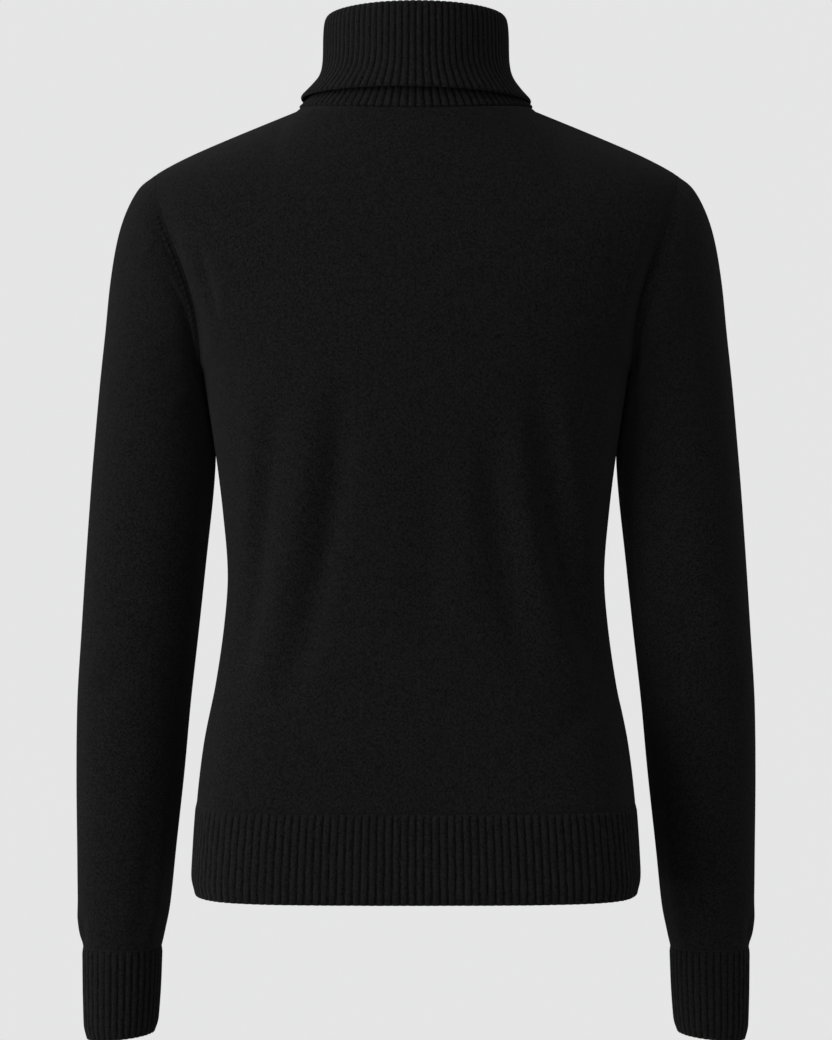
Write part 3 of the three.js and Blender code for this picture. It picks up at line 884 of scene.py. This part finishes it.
def collar_station(v):
    """Once down the shown face and once back up the hidden one, in uneven rows."""
    rows = len(collar_stations) - 1
    return np.interp(rows * np.minimum(2 * v, 2 - 2 * v), np.arange(rows + 1), collar_stations)


def collar_place(share, v):
    """Round the collar's wall: up its inner face, over the fold, down, and back inside the fold."""
    angle = share * 2 * np.pi
    shown = v < 0.5
    station = collar_station(v)
    facing = np.where(shown, -1.0, 1.0)
    out = outward(collar_form, angle, station, ANY_ANGLE, (0, COLLAR_EDGE), 1) * facing[..., None]
    to_edge = np.clip(np.minimum(station / 0.1, (COLLAR_EDGE - station) / 0.25), 0, 1)
    round_edge = np.sqrt(1 - (1 - to_edge) ** 2)
    wall = PLY / 2 * round_edge
    height = rib_height(share * COLLAR_RIBS) * round_edge
    # The ribs are flatter on the hidden faces and over the fold.
    hidden = (station < 6) & shown | (station > 3) & ~shown
    height = np.where(hidden, height * 0.5, height)
    height *= 1 - 0.65 * np.exp(-(((station - 7) / 0.9) ** 2))
    return collar_form(angle, station) + out * (wall + height)[..., None]


collar_down = np.linspace(0, COLLAR_EDGE, 131)
collar_line = collar_form(np.zeros_like(collar_down), collar_down)
collar_length = np.concatenate([[0], np.cumsum(np.linalg.norm(np.diff(collar_line, axis=0), axis=-1))])
piece = grid_piece(
    "knitted_collar",
    collar_place,
    lambda u, v: np.stack(
        [
            (u * COLLAR_RIBS + 1 / 6) * RIB_WIDE,
            np.interp(collar_station(v), collar_down, collar_length) * MM,
        ],
        -1,
    ),
    rib_knit,
    columns=COLLAR_RIBS * POINTS_A_RIB,
    rows=2 * (len(collar_stations) - 1),
    closed=True,
)
piece.data.flip_normals()
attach(piece, "root")
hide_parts("collar")

# Floor and backdrop
# One pale sheet that curves up behind the sweater. It glows evenly, so it stays the same pale
# grey all over, and it throws no light on the knit.

BACKDROP = dict(width=16, length=14, front=-3, flat=6, bend=3, radius=1.91, floor=-1.1)

pale = bpy.data.materials.new("pale_backdrop")
pale.use_nodes = True
pale_shader = pale.node_tree.nodes["Principled BSDF"]
pale_shader.inputs["Base Color"].default_value = (0, 0, 0, 1)
pale_shader.inputs["Roughness"].default_value = 1
pale_shader.inputs["Specular IOR Level"].default_value = 0
pale_shader.inputs["Emission Color"].default_value = (0.784, 0.786, 0.786, 1)
pale_shader.inputs["Emission Strength"].default_value = 1

bm = bmesh.new()
bmesh.ops.create_grid(bm, x_segments=2, y_segments=60, size=0.5)
for v in bm.verts:
    along = (v.co.y + 0.5) * BACKDROP["length"]
    past_flat = max(along - BACKDROP["flat"], 0)
    angle = min(past_flat / BACKDROP["bend"], 1) * math.pi / 2
    v.co = (
        v.co.x * BACKDROP["width"],
        min(along, BACKDROP["flat"]) + BACKDROP["front"] + BACKDROP["radius"] * math.sin(angle),
        BACKDROP["floor"]
        + BACKDROP["radius"] * (1 - math.cos(angle))
        + max(past_flat - BACKDROP["bend"], 0),
    )
for face in bm.faces:
    face.smooth = True
backdrop = finished("backdrop", bm, pale)
backdrop.visible_diffuse = False
backdrop.visible_glossy = False

# Light
# A large soft light from the viewer's left, a weaker one from behind the viewer, and a little
# light from all round.

world = bpy.data.worlds.new("studio")
bpy.context.scene.world = world
world.use_nodes = True
world.node_tree.nodes["Background"].inputs["Color"].default_value = (1, 1, 1, 1)
world.node_tree.nodes["Background"].inputs["Strength"].default_value = 0.1

AIM_Z = -0.3
for name, place, size, power in (
    ("key", (-2.6, -1.9, 0.3), 2.6, 36),
    ("front", (0, -3.0, 0.4), 1.6, 4),
):
    lamp = bpy.data.lights.new(name, "AREA")
    lamp.size = size
    lamp.energy = power
    light = bpy.data.objects.new(name, lamp)
    bpy.context.collection.objects.link(light)
    light.location = place
    aim = (-place[0], -place[1], AIM_Z - place[2])
    light.rotation_euler = (
        math.atan2(math.hypot(aim[0], aim[1]), -aim[2]),
        0,
        math.atan2(aim[1], aim[0]) - math.pi / 2,
    )
